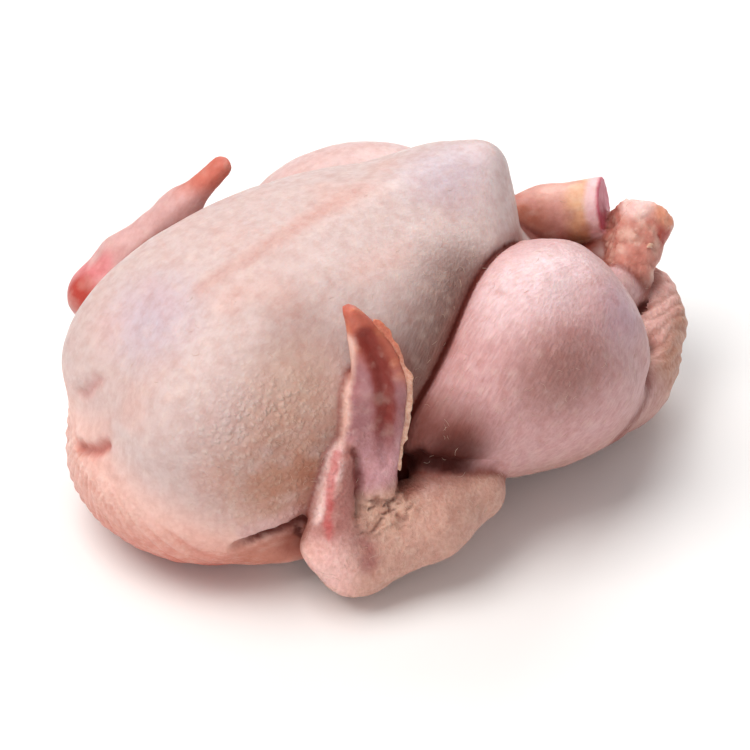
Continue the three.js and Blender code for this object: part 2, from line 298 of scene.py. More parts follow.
def members(p):
    """What is folded against the body, each with the width over which its skin joins what it meets."""
    web = limb(p, (90, -4, 42), (109, -9, 50), 8, 7)
    return {"near_leg": (near_leg(p), CREASE), "far_leg": (far_leg(p), CREASE), "tail": (tail(p), CREASE),
            "web": (web, SOFT_FOLD), "far_hock": (hock(p, FAR_HOCK), CREASE),
            "near_hock": (hock(p, NEAR_HOCK), CREASE), "near_wing": (near_wing(p), CREASE),
            "far_wing": (far_wing(p), SOFT_FOLD)}


def carcass(p):
    """The whole bird, resting on its flattened back."""
    skin = body(p)
    for distance, width in members(p).values():
        skin = melt(skin, distance, width)
    return np.maximum(skin, -p[2])


def surface(form, low, high, step):
    """Lays four-sided faces where a form's distance changes sign on a grid. Each cell that the surface
    passes through gets one point, the mean of its crossings, and each crossed grid edge gets the face
    round it."""
    axes = [np.arange(a, b + step, step, dtype=np.float32) for a, b in zip(low, high)]
    field = form(np.meshgrid(*axes, indexing="ij"))
    inside = field < 0
    cells = tuple(n - 1 for n in field.shape)
    total = np.zeros((math.prod(cells), 3))
    count = np.zeros(math.prod(cells))
    quads = []
    for axis in range(3):
        here = tuple(slice(None, -1) if a == axis else slice(1, -1) for a in range(3))
        there = tuple(slice(1, None) if a == axis else slice(1, -1) for a in range(3))
        corner = np.argwhere(inside[here] != inside[there])
        start = field[here][tuple(corner.T)]
        crossing = corner.astype(float) + [0 if a == axis else 1 for a in range(3)]
        corner = crossing.astype(int)
        crossing[:, axis] += start / (start - field[there][inside[here] != inside[there]])
        side, other = (axis + 1) % 3, (axis + 2) % 3
        ring = []
        for back, down in ((0, 0), (1, 0), (1, 1), (0, 1)):
            cell = corner.copy()
            cell[:, side] -= back
            cell[:, other] -= down
            number = np.ravel_multi_index(cell.T, cells)
            np.add.at(total, number, crossing)
            np.add.at(count, number, 1)
            ring.append(number)
        ring = np.stack(ring, 1)
        ring[start >= 0] = ring[start >= 0][:, ::-1]
        quads.append(ring)
    used = np.flatnonzero(count)
    order = np.zeros(len(count), int)
    order[used] = np.arange(len(used))
    return total[used] / count[used][:, None] * step + np.array(low), order[np.concatenate(quads)]


def normals_of(points, quads):
    """Each point's normal: the sum of the cross products of its faces' diagonals."""
    cross = np.cross(points[quads[:, 2]] - points[quads[:, 0]], points[quads[:, 3]] - points[quads[:, 1]])
    total = np.zeros_like(points)
    for corner in range(4):
        np.add.at(total, quads[:, corner], cross)
    return total / np.maximum(np.linalg.norm(total, axis=1, keepdims=True), 1e-9)


def lumps(p, size, seed):
    """Smooth unevenness from -1 to 1: random heights on a lattice, blended between its corners."""
    heights = np.random.default_rng(seed).uniform(-1, 1, (32, 32, 32))
    q = np.stack(p, -1) / size
    low = np.floor(q).astype(int)
    f = q - low
    f = f * f * (3 - 2 * f)
    value = 0
    for dx in (0, 1):
        for dy in (0, 1):
            for dz in (0, 1):
                weight = (np.where(dx, f[:, 0], 1 - f[:, 0]) * np.where(dy, f[:, 1], 1 - f[:, 1])
                          * np.where(dz, f[:, 2], 1 - f[:, 2]))
                value = value + weight * heights[tuple(((low + (dx, dy, dz)) % 32).T)]
    return value


def ramp(value, start, end):
    """0 before the start, 1 after the end, and smooth between."""
    share = np.clip((value - start) / (end - start), 0, 1)
    return share * share * (3 - 2 * share)


def spot(p, centre, radius, soft=0.6):
    """1 at a place, fading to 0 at a radius, which may differ along X, Y and Z."""
    radius = np.broadcast_to(radius, 3)
    away = np.sqrt(sum(((p[i] - centre[i]) / radius[i]) ** 2 for i in range(3)))
    return 1 - ramp(away, 1 - soft, 1)


def along(p, line, inner, outer):
    """1 on a line through several places, fading to 0 between two distances from it."""
    return 1 - ramp(from_line(p, line), inner, outer)


SKIN_STEP = 1.3
points, quads = surface(carcass, (-124, -93, -4), (128, 94, 116), SKIN_STEP)
normals = normals_of(points, quads)
p = tuple(points.T)
x, y, z = p

# Where the skin is pulled, folded or cut. Each is a share from 0 to 1.
away = {name: distance for name, (distance, _) in members(p).items()}
away["body"] = body(p)
leg_seam = away["near_leg"] - away["body"]  # signed, so that the line where the two meet can be drawn finely
seam_near = np.minimum(away["near_leg"], away["body"]) < 2.5
nearest = np.sort(np.stack(list(away.values())), axis=0)
crease = np.exp(-((nearest[1] - nearest[0]) / 1.5) ** 2)


def belongs(*names):
    """1 on some members' own skin, fading across the crease round them."""
    ours = np.minimum.reduce([away[name] for name in names])
    return 1 - ramp(ours - np.minimum.reduce([away[name] for name in away if name not in names]), -0.7, 1.4)


cut_depth = beyond(p, FAR_HOCK["joints"][-1][0], FAR_HOCK["cut"])
off_shaft = from_line(p, [joint for joint, _ in FAR_HOCK["joints"]])
near_arm, far_arm = belongs("near_wing"), belongs("far_wing")
thumb = near_arm * (1 - ramp(limb(p, *THUMB) - blade(p, **HAND), -1.5, 1.5)) * ramp(z, 28, 40)
near_hand = near_arm * ramp(z, 38, 50) * (1 - thumb)
far_bone, near_bone = belongs("far_hock"), belongs("near_hock")
tail_fold = belongs("tail") * ramp(x + 0.4 * z, 84, 102)
on_leg = belongs("near_leg", "tail") * (1 - tail_fold)
on_far_leg = belongs("far_leg")
neck = (1 - ramp(x + 0.8 * z, -84, -58)) * (1 - ramp(z - 0.25 * y, 34, 50))
underside = 1 - ramp(z, 0.2, 3)
front = spot(p, (-72, -54, 56), (38, 30, 36), 0.95)  # the brown skin in front of the wing
loose = spot(p, (-78, -51, 60), (48, 36, 42), 0.8)  # the loose, pimpled skin round it
flank = along(p, [(-44, -58, 50), (-18, -56, 72), (6, -46, 88)], 4, 30)


def crowding(reach):
    """How closely skin faces skin: 0 in the open, 1 where a step out along the normal ends in skin again."""
    return 1 - np.clip(carcass(tuple((points + normals * reach).T)) / reach, 0, 1)


TOWARDS_NEAR_SIDE, ACROSS = np.array([-0.48, -0.65, 0.59]), np.array([0.81, -0.59, 0.0])


def on_skin(line):
    """Lays a line on the near side's skin: a place about every 2 mm, moved to the nearest point there."""
    line = np.array(line, float)
    run = np.concatenate([[0], np.cumsum(np.linalg.norm(np.diff(line, axis=0), axis=1))])
    steps = np.linspace(0, run[-1], 2 + int(run[-1] / 2))
    places = np.stack([np.interp(steps, run, line[:, i]) for i in range(3)], 1)
    seen = points[normals @ TOWARDS_NEAR_SIDE > 0.15]
    found = [int(np.argmin(((seen - place) ** 2).sum(1))) for place in places]
    return [tuple(seen[number]) for number in dict.fromkeys(found)]


# Masks for the shade painted into the skin's colour: shade where a step of 12 mm out from the skin meets
# skin again, deeper shade where a step of 5 mm does, kept off the breast beside the near hand, behind the
# far hand and on the hocks.
beside_hand = spot(p, (-58, -44, 88), (24, 24, 36), 0.3) * (1 - near_arm)
behind_far_hand = 0.7 * spot(p, (-34, 56, 88), (34, 24, 26), 0.5)
apart = (1 - beside_hand) * (1 - behind_far_hand) * (1 - 0.85 * far_bone) * (1 - 0.6 * near_bone)
shade, gap = apart * ramp(crowding(12), 0.15, 0.95), apart * ramp(crowding(5), 0.70, 1.0)

relief = 0.7 * lumps(p, 22, 1) + 0.22 * lumps(p, 8, 2)

# Wrinkles in the folded neck skin, 3.6 mm apart at 30 mm from the fan's middle, by the lower dimple.
fan = np.arctan2(0.75 * (x + 116) - (y - 4), 56 - z) * 30
wrinkle = np.sin(2 * math.pi * fan / 3.6 + 2.2 * lumps(p, 12, 3)) * (0.65 + 0.5 * lumps(p, 7, 4))
relief = relief + 0.5 * neck * wrinkle

# Puckers across the fold of skin that runs to the tail, 4.6 mm apart.
pucker = np.sin(2 * math.pi * (z * 0.8 + 0.6 * y) / 4.6 + 3.5 * lumps(p, 9, 5))
relief = relief + 0.5 * tail_fold * pucker * (0.5 + 0.5 * lumps(p, 8, 6))

# Two dimples where the neck was, the thigh's pocket by the tail, a sharp line where the leg meets the
# breast, and deep ones under the drumstick and where the breast's edge lies over the shoulder.
UPPER_DIMPLE = on_skin([(-110.3, 15, 61.4), (-109.3, 11.8, 64.1), (-107.3, 9.4, 68.8)])
LOWER_DIMPLE = on_skin([(-115.1, 12, 43), (-115.3, 6.8, 45.1), (-115, 1.7, 47.3), (-114.1, -1.6, 50.1),
                        (-113, -3.4, 52.9)])
LIP = on_skin([(-114, 12, 49), (-114.2, 6.9, 51.5), (-113.3, 2, 55)])
POCKET = on_skin([(86, -54, 44), (78, -62, 44), (69.2, -69.4, 44.4)])
SHOULDER_CREASE = on_skin([(-91.2, -45.9, 26.4), (-86.8, -49.1, 29.8), (-83.2, -50.9, 31.4),
                           (-80, -52.1, 32), (-76.4, -53.3, 32.7), (-73.7, -54, 33.2),
                           (-70.6, -54.9, 34.4)])
SHOULDER_EDGE = on_skin([(-88, -49, 34), (-83, -51.5, 35.5), (-78, -53.5, 36.5), (-73, -55.5, 38)])
relief = relief - valley(p, UPPER_DIMPLE, 2.2, 1.2) - valley(p, LOWER_DIMPLE, 2.2, 2.4)
relief = relief + valley(p, LIP, 3.4, 1.3)
relief = relief - valley(p, POCKET, 4, 3.6)
relief = relief - 2.0 * seam_near * np.exp(-(leg_seam / 1.6) ** 2)
CREVICE = on_skin([(-31, -60, 42), (-29, -64.3, 47), (-22.5, -70.7, 45.5), (-13.5, -75.4, 42.5),
                   (-6.5, -77.5, 41)])
relief = relief - valley(p, CREVICE, 2.6, 3.0)
relief = relief - valley(p, SHOULDER_CREASE, 1.8, 2.4) + valley(p, SHOULDER_EDGE, 3, 1.5)
relief = relief + 0.35 * loose * lumps(p, 3.2, 15) + 0.2 * on_leg * lumps(p, 3.6, 16)

# The wing's hand has a groove along its trailing edge, and a bruised thumb stands in front of it with a slit
# between them. The skin is bunched where the hand meets the forearm.
HAND_GROOVE = on_skin([(-45.6, -57.9, 99.1), (-44.5, -59.7, 94.6), (-43.3, -61.8, 89.4),
                       (-43.1, -64.2, 79.1), (-43.3, -65.7, 70.8), (-44.3, -66.6, 62.8),
                       (-44.7, -67.7, 53.4)])
THUMB_SLIT = on_skin([(-53.6, -59.9, 58.7), (-52.9, -62.3, 53.7), (-53.4, -63.5, 48.4),
                      (-54.1, -64.9, 42.5), (-56.6, -67.8, 39.2)])
relief = relief - near_hand * valley(p, HAND_GROOVE, 2.0, 1.6) - near_arm * valley(p, THUMB_SLIT, 1.6, 1.6)
bunched = spot(p, (-47, -70, 37), (17, 12, 11), 0.6)
# Thin creases between puffs of loose skin.
rumples = np.exp(-(lumps((0.8 * x, y, 1.1 * z), 2.9, 13) / 0.20) ** 2)
relief = relief + near_arm * (0.3 * lumps(p, 6, 7) + 0.2 * lumps(p, 2.8, 8)) * (1 - 0.6 * near_hand)
relief = relief + near_arm * bunched * (1.2 - 1.6 * rumples + 0.6 * lumps(p, 5, 17))
shrivelled = np.exp(-(lumps((x + 0.5 * z, y, 0.45 * z), 3.4, 9) / 0.16) ** 2)
relief = relief + near_bone * (0.7 * lumps(p, 6, 10) + 0.3 * lumps(p, 2.8, 18) + 0.2 - 0.6 * shrivelled)
relief = relief + 0.3 * far_arm * lumps(p, 5, 11) + 0.35 * far_bone * (1 - ramp(x, 80, 96)) * lumps(p, 4, 14)
points = points + normals * (relief * (1 - underside))[:, None]
points[:, 2] = np.maximum(points[:, 2], 0)


# Colours, from the whole skin's down to the smallest marks, each laid over those before it.
def lay(code, share):
    """Mixes a colour into the skin, by a share for each point."""
    global colour
    share = np.clip(share, 0, 1)[:, None]
    colour = colour * (1 - share) + np.array(linear(code)[:3]) * share


mottle, fine, streak = lumps(p, 14, 20), lumps(p, 5, 21), lumps(p, 2.8, 23)
colour = np.tile(np.array(linear("#d2bdba")[:3]), (len(points), 1))
# The breast: beige, pinker along the keel, blue-grey where the muscle shows through, tan in front of the
# wing, browner beside it partly as its painted shadow, and grey-brown down the flank, partly painted shade.
lay("#d9b0a7", 0.45 * ramp(mottle, -0.1, 0.8))
lay("#b59c97", 0.75 * spot(p, (-60, -36, 94), (32, 24, 28), 0.9) * ramp(mottle, -1.0, 0.2))
lay("#c5b8ca", 0.55 * spot(p, (-88, 4, 90), (26, 30, 26), 0.9))
lay("#c4bacb", 0.55 * spot(p, (30, -6, 109), (34, 26, 20), 0.9))
lay("#c9998f", 0.5 * along(p, [(-73, -4, 100), (-42, -3.5, 107), (-3, 3, 110)], 0.5, 6))
lay("#d2a39b", 0.5 * along(p, [(17, 56, 89), (38, 49, 90)], 1, 6))
lay("#c9a590", 0.55 * spot(p, (-66, -46, 82), (26, 20, 24), 0.95))
lay("#cd9a7c", 0.85 * front * ramp(fine + 0.6 * mottle, -1.8, 0.8))
# Browner skin beside the wing, partly its own tan and partly painted shadow of the wing.
lay("#a9684e", 0.6 * spot(p, (-66, -57, 52), (34, 22, 26), 0.95) * ramp(fine + 0.5 * streak, -1.2, 0.6))
# Grey-brown down the flank, partly the skin's tan and partly painted shade on the side turned from the
# light.
lay("#806058", 0.9 * flank * (0.6 + 0.4 * ramp(z, 48, 66)))
lay("#e0cccb", 0.7 * spot(p, (46, -16, 100), (26, 22, 20), 0.8))
# The legs: lilac pink over the drumstick, mauve brown down its side, purple in the dip and browner on the
# thigh.
lay("#d6a9aa", 0.95 * on_leg)
lay("#f3dbe0", 0.85 * on_leg * spot(p, (24, -58, 94), (44, 26, 22), 0.9))
lay("#9f7069", 0.8 * on_leg * spot(p, (16, -84, 74), (30, 20, 24), 0.9))
lay("#d2b2c0", 0.75 * on_leg * spot(p, (50, -74, 78), (20, 18, 18), 0.9))
lay("#c39589", 0.7 * on_leg * (1 - ramp(z, 22, 46)))
lay("#e4c4c2", 0.6 * on_far_leg)
# The neck's skin: thin and pink, red along the edge that it rests on.
lay("#f6c8bc", 0.85 * (1 - ramp(x + 0.8 * z, -78, -44)) * (1 - ramp(z - 0.25 * y, 40, 66)))
lay("#dc8e7c", 0.55 * neck * ramp(-wrinkle, 0.0, 0.8))
lay("#d98d7c", 0.7 * neck * (1 - ramp(z, 18, 40)))
lay("#b9523f", 0.85 * neck * (1 - ramp(z, 4, 24)))
lay("#bd745e", 0.85 * spot(p, (-74, -48, 20), (28, 18, 15)))
lay("#d9b6b4", 0.8 * along(p, SHOULDER_EDGE, 1.5, 5))
# The fold of skin to the tail, with yellow fat under it.
lay("#d09980", 0.9 * tail_fold)
# Pale pink on the fold's top and outer end, partly its own colour and partly painted light from above.
lay("#ffcdc6", 0.98 * tail_fold * np.maximum(ramp(z, 34, 42), spot(p, (116, -24, 42), (13, 14, 9))))
lay("#b5745f", 0.5 * tail_fold * ramp(-pucker, 0.2, 1.0))
# The near wing: a beige forearm, a pink wrist, a bruised thumb and a mauve hand with a red tip.
lay("#d6a999", 0.9 * near_arm)
# The pink wrist, partly its own colour and partly painted light lifting the shade that it lies in.
lay("#ffd3ce", 0.95 * near_arm * spot(p, (-70, -70, 24), (14, 18, 32), 0.8))
WRIST_STAIN = on_skin([(-58.8, -71.4, 32.9), (-58.9, -77.1, 23.9)])
lay("#9c5054", 0.7 * near_arm * along(p, WRIST_STAIN, 1, 6) * ramp(fine, -0.9, 0.3))
lay("#a87278", 0.95 * near_hand)
lay("#c99a9c", 0.5 * near_hand * ramp(fine + 0.5 * streak, -0.2, 0.9))
lay("#dfaeb6", 0.85 * near_hand * (1 - ramp(z, 50, 70)))
lay("#c66a54", 0.9 * near_hand * ramp(z + 0.8 * (x + 48), 86, 99))
lay("#e08a66", 0.6 * near_hand * ramp(z + 0.8 * (x + 48), 86, 99) * ramp(streak, -0.1, 0.5))
lay("#84291f", 0.95 * near_hand * along(p, HAND_GROOVE, 2.3, 5.2) * ramp(z, 50, 72))
lay("#b17672", 0.9 * thumb)
LEADING_EDGE = on_skin([(-49.1, -53.4, 97), (-49.8, -53.1, 81.5), (-54.3, -57.1, 69.6),
                        (-56.7, -57.5, 62.8)])
# A pale leading edge on the hand, partly its own colour and partly painted light on the side that faces the
# key light.
lay("#f3cdc0", 0.9 * near_arm * along(p, LEADING_EDGE, 1.0, 3.8))
THUMB_EDGE = on_skin([(-58, -57.5, 60), (-62.1, -60.5, 54.7), (-65.7, -60.9, 48.3), (-69.6, -61.7, 40.2)])
# A near-white edge on the thumb, partly its own colour and partly painted light on the side that faces the
# key light.
lay("#ffe2e0", 0.95 * near_arm * along(p, THUMB_EDGE, 2.0, 5.0))
BRUISE = on_skin([(-58.5, -59.8, 58.8), (-62, -61.5, 53.2), (-65, -63.5, 48.3), (-67.6, -66, 42.4),
                  (-69, -69, 36)])
lay("#cb3f46", 0.8 * near_arm * along(p, BRUISE, 0.6, 2.6) * (0.8 + 0.2 * streak))
# Painted shade in the slit between the thumb and the hand.
lay("#742622", 0.9 * near_arm * along(p, THUMB_SLIT, 0.6, 2.2))
lay("#e3bfaa", 0.6 * near_arm * bunched)
# Painted shade in the thin creases of the bunched skin.
lay("#8c5444", 0.8 * near_arm * bunched * rumples)
# The far wing.
lay("#dcb0ae", 0.9 * far_arm)
lay("#dc6c74", 0.7 * far_arm * spot(p, (-68, 76, 58), 16) * ramp(fine, -0.8, 0.4))
lay("#b83a2a", 0.92 * far_arm * spot(p, (-78, 74, 56), 11))
lay("#d0705c", 0.9 * far_arm * ramp(z, 84, 93))
# The hocks: brown at the root, pink along the shaft, then yellow fat, a white ring of gristle and dark bone.
lay("#e4a79c", 0.95 * far_bone)
lay("#b8694e", 0.85 * far_bone * (1 - ramp(x, 76, 88)) * ramp(fine, -1.1, 0.2))
lay("#a04a38", 0.7 * far_bone * (1 - ramp(z, 53, 60)))
lay("#efbd92", 0.85 * far_bone * ramp(cut_depth + 1.2 * fine, -14, -9))
lay("#f3ced2", 0.95 * far_bone * ramp(cut_depth + 0.8 * fine, -6.5, -3.5))
lay("#b96f66", 0.45 * far_bone * ramp(-fine, 0, 0.6))
# Painted highlight along the far hock's top, short of the cut end.
lay("#f6d2c0", 0.5 * far_bone * ramp(z, 68, 75) * (1 - ramp(cut_depth, -8, -5)))
lay("#d4627c", 0.95 * far_bone * ramp(cut_depth, -1.6, -0.8) * (1 - ramp(off_shaft, 10.8, 12)))
lay("#b84a62", 0.45 * far_bone * ramp(cut_depth, -1.6, -0.8) * (1 - ramp(off_shaft, 2.0, 5.5)))
lay("#d58e80", 0.95 * near_bone)
lay("#f0cdbd", 0.6 * near_bone * ramp(lumps(p, 2.6, 22), -0.3, 0.5))
# Painted shade in the creases of the shrivelled skin.
lay("#a8604f", 0.45 * near_bone * shrivelled)
lay("#fbdcd8", 0.9 * near_bone * spot(p, (107, -13, 71), (13, 13, 6)))
lay("#b83c2e", 0.85 * near_bone * spot(p, (114, -24, 60), (7, 7, 7)))
lay("#ffb596", 0.95 * near_bone * spot(p, (118, -21, 67), 8))
# Fine streaks and specks over it all.
lay("#f0dccf", 0.15 * ramp(streak, 0.2, 0.8))
lay("#b5705f", 0.15 * ramp(-streak, 0.3, 0.9))
# Painted shade, reddish as in raw flesh, and some blood gather where skin faces skin, under the drumstick
# most of all.
off_wing = 1 - near_arm
on_elbow = spot(p, (0, -76, 38), (16, 16, 14), 0.5)  # where the drumstick lies on the elbow, and it is paler
# Painted shade where skin faces skin, lighter where the drumstick lies on the elbow.
lay("#9a5546", 0.75 * shade * (1 - 0.5 * on_elbow))
# Painted shade along the creases where the members meet the body and each other.
lay("#84382b", 0.75 * crease)
# Painted shade in the two neck dimples.
lay("#b8564a", 0.75 * np.maximum(valley(p, UPPER_DIMPLE, 2.2, 0.5), valley(p, LOWER_DIMPLE, 2.4, 1)))
# Painted shade along the crease under the breast's edge at the shoulder.
lay("#5e1a10", 0.95 * along(p, SHOULDER_CREASE, 1.2, 3.3) * ramp(x, -93, -84))
# Painted shade in the thigh's pocket by the tail.
lay("#7d4436", 0.8 * along(p, POCKET, 1.0, 4.5))
# Painted shadow under the far hock, on the skin below it.
under_hock = np.maximum(spot(p, (86, 0, 53), (26, 16, 11), 0.6), spot(p, (73, 4, 63), (13, 14, 11), 0.35))
lay("#7a2c1c", 0.9 * under_hock * (1 - far_bone) * (1 - near_bone) * (1 - on_leg))
# Painted shade on the drumstick's underside where it curves over the forearm, darkest in the crevice between
# them.
lay("#7a3626", 0.95 * off_wing * spot(p, (-18, -70, 54), (26, 16, 19), 0.9))
lay("#4e150a", 0.92 * off_wing * spot(p, (-19, -71, 49), (19, 12, 12), 0.8))
lay("#430e06", 0.97 * off_wing * along(p, CREVICE, 2.2, 6.0) * (1 - ramp(x, -20, -8)))
# Deeper painted shade where skin nearly touches skin.
lay("#561509", 0.9 * gap * (1 - 0.8 * on_elbow))
sunken = np.clip(gap + along(p, CREVICE, 3, 8) + 0.8 * along(p, SHOULDER_CREASE, 1.5, 4) + 0.6 * shade, 0, 1)

skin_mesh = bpy.data.meshes.new("carcass")
metres = (points - np.array(MIDDLE)) * MM
skin_mesh.vertices.add(len(points))
skin_mesh.vertices.foreach_set("co", metres.astype(np.float32).ravel())
skin_mesh.loops.add(quads.size)
skin_mesh.loops.foreach_set("vertex_index", quads.ravel().astype(np.int32))
skin_mesh.polygons.add(len(quads))
skin_mesh.polygons.foreach_set("loop_start", np.arange(0, quads.size, 4, dtype=np.int32))
skin_mesh.polygons.foreach_set("use_smooth", np.ones(len(quads), bool))
skin_mesh.update(calc_edges=True)
skin_mesh.validate()


def attribute(mesh, name, values):
    """Stores one number or one colour for each point of a mesh."""
    if values.ndim == 1:
        layer = mesh.attributes.new(name, "FLOAT", "POINT")
        layer.data.foreach_set("value", values.astype(np.float32))
        return
    layer = mesh.attributes.new(name, "FLOAT_COLOR", "POINT")
    full = np.concatenate([values, np.ones((len(values), 1))], 1)
    layer.data.foreach_set("color", full.astype(np.float32).ravel())


attribute(skin_mesh, "skin_colour", colour)
on_ball = on_leg * spot(p, (20, -84, 74), (36, 22, 30), 0.8)
pimpled = np.maximum.reduce([loose, 0.5 * neck, 0.5 * tail_fold, 0.3 * near_bone,
                             0.3 * near_arm * (1 - near_hand), 0.3 * on_ball])
attribute(skin_mesh, "pimpled", np.clip(0.10 + pimpled, 0, 1))
downy = np.maximum.reduce([flank, 0.9 * near_arm * (1 - near_hand), 0.55 * on_leg, 0.5 * tail_fold,
                           0.3 * front])
attribute(skin_mesh, "downy", np.clip(0.25 + downy, 0, 1) * (1 - 0.8 * far_bone) * (1 - gap))
attribute(skin_mesh, "on_arm", near_arm)
attribute(skin_mesh, "sunken", sunken)
attribute(skin_mesh, "leg_seam", np.where(seam_near, leg_seam, 40 * np.sign(leg_seam)))
bird = bpy.data.objects.new("carcass", skin_mesh)
bpy.context.scene.collection.objects.link(bird)

# Raw chicken skin: thin, moist and half see-through over pink flesh, plucked, so each empty follicle stands
# up as a small bump. The eye sees soft light from within, a broad damp sheen and a fine grain.
skin, tree, out = material("moist_plucked_skin")
PIMPLE_SPACING, PORE_SPACING, BLOTCH_SPACING = 2.1 * MM, 0.8 * MM, 4.0 * MM
STREAK_LENGTH, STREAK_WIDTH = 7 * MM, 1.1 * MM
where = node(tree, "ShaderNodeTexCoord").outputs["Object"]


def share_of(name):
    """One of the mesh's attributes, as a number."""
    return node(tree, "ShaderNodeAttribute", {"attribute_name": name}).outputs["Fac"]


def smooth(value, start, end, low=0.0, high=1.0):
    """Turns a value between a start and an end smoothly into one between two others."""
    return node(tree, "ShaderNodeMapRange", {"interpolation_type": "SMOOTHSTEP"}, Value=value,
                From_Min=start, From_Max=end, To_Min=low, To_Max=high).outputs["Result"]


def calc(operation, *values):
    """One step of arithmetic."""
    return node(tree, "ShaderNodeMath", {"operation": operation},
                **{f"i{number}": value for number, value in enumerate(values)}).outputs[0]


def mix(factor, below, above, kind="MIX"):
    """Lays one colour over another."""
    return node(tree, "ShaderNodeMix", {"data_type": "RGBA", "blend_type": kind}, Factor=factor, i6=below,
                i7=above).outputs[2]


def grain_of(vector, scale, detail, roughness):
    """Cloudy noise, from 0 to 1."""
    return node(tree, "ShaderNodeTexNoise", Vector=vector, Scale=scale, Detail=detail,
                Roughness=roughness).outputs["Fac"]


def stretched(pitch, heading):
    """Coordinates drawn out along one direction, for the streaks in the skin."""
    return node(tree, "ShaderNodeMapping", {"vector_type": "TEXTURE"}, Vector=where,
                Rotation=(0, math.radians(-pitch), math.radians(heading)),
                Scale=(STREAK_LENGTH, STREAK_WIDTH, STREAK_WIDTH)).outputs["Vector"]


pimpled_share, downy_share, arm_share = share_of("pimpled"), share_of("downy"), share_of("on_arm")
follicles = node(tree, "ShaderNodeTexVoronoi", Vector=where, Scale=1 / PIMPLE_SPACING)
round_ones = smooth(follicles.outputs["Distance"], 0.05, 0.80, 1.0, 0.0)
patchy = smooth(grain_of(where, 1.6 / PIMPLE_SPACING, 2.0, 0.5), 0.30, 0.65, 0.3, 1.0)
pimples = calc("MULTIPLY", round_ones, patchy)
pores = grain_of(where, 1 / PORE_SPACING, 3.0, 0.6)
blotches = grain_of(where, 1 / BLOTCH_SPACING, 4.0, 0.65)
body_streaks = smooth(grain_of(stretched(44, 10), 1.0, 2.0, 0.55), 0.30, 0.70)
arm_streaks = smooth(grain_of(stretched(52, -120), 1.0, 2.0, 0.55), 0.30, 0.70)
streaks = node(tree, "ShaderNodeMix", {"data_type": "FLOAT"}, Factor=arm_share, i2=body_streaks,
               i3=arm_streaks).outputs[0]
skin_tint = node(tree, "ShaderNodeAttribute", {"attribute_name": "skin_colour"}).outputs["Color"]
skin_tint = mix(smooth(blotches, 0.35, 0.70, 0.0, 0.40), skin_tint, linear("#e2c9c3"), "MULTIPLY")
skin_tint = mix(calc("MULTIPLY", calc("SUBTRACT", 1.0, streaks), calc("MULTIPLY", downy_share, 0.30)),
                skin_tint, linear("#cbb0a4"), "MULTIPLY")
# Darker tan between the pimples, partly their own tint and partly painted shade, then a painted highlight on
# each pimple's top.
skin_tint = mix(calc("MULTIPLY", calc("SUBTRACT", 1.0, pimples), calc("MULTIPLY", pimpled_share, 0.30)),
                skin_tint, linear("#d2a594"), "MULTIPLY")
skin_tint = mix(calc("MULTIPLY", pimples, calc("MULTIPLY", pimpled_share, 0.10)), skin_tint,
                linear("#f3ddcd"))
# A thin dark line where the leg meets the breast: painted shade of the crease.
seam_line = smooth(calc("ABSOLUTE", share_of("leg_seam")), 0.40, 1.9, 1.0, 0.0)
skin_tint = mix(calc("MULTIPLY", seam_line, 0.95), skin_tint, linear("#551407"))
height = calc("ADD", calc("MULTIPLY", calc("MULTIPLY", pimples, pimpled_share), 0.70),
              calc("MULTIPLY", calc("MULTIPLY", streaks, downy_share), 0.16))
height = calc("ADD", height, calc("MULTIPLY", pores, 0.12))
bumps = node(tree, "ShaderNodeBump", Strength=0.9, Distance=1.0 * MM, Height=height).outputs["Normal"]
dull = calc("MULTIPLY", calc("MAXIMUM", share_of("sunken"), seam_line), 0.45)
flesh = node(tree, "ShaderNodeBsdfPrincipled", Base_Color=skin_tint,
             Roughness=calc("ADD", smooth(blotches, 0.3, 0.7, 0.38, 0.54), dull),
             IOR=1.42, Subsurface_Weight=0.3, Subsurface_Radius=(1.0, 0.35, 0.22), Subsurface_Scale=3 * MM,
             Specular_IOR_Level=0.3, Coat_Weight=0.07, Coat_Roughness=0.28, Normal=bumps)
tree.links.new(flesh.outputs[0], out.inputs["Surface"])
skin_mesh.materials.append(skin)
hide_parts("chicken")
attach(bird, "root")

# ---------------------------------------------------------------------------------------------------------
# Torn skin: the ragged edge behind the wing's hand, and a shred left on the near hock. Each is a thin strip
# of fat and skin with an uneven edge, which runs into the skin that it lies on.
HAND_EDGE = []  # the hand's trailing edge, from its tip down
on_hand = (blade(p, **HAND) < 1.5) & (near_arm > 0.5)
for rise in np.linspace(105, 47, 26):
    level = np.flatnonzero((np.abs(z - rise) < 1.3) & on_hand)
    HAND_EDGE.append(points[level[np.argmax(points[level] @ ACROSS)]] + 0.5 * ACROSS)
SHREDS = [  # the places it runs through, its half width, its half thickness, and its colour at each end
    (HAND_EDGE, 1.5, 0.3, "#d0826a", "#dfb8a4"),
    ([(102.5, -27.5, 60.5), (105.0, -27.0, 60.0), (107.5, -26.0, 58.0), (108.0, -25.0, 55.0)],
     1.0, 0.35, "#ecc4ae", "#d59f8a"),
]


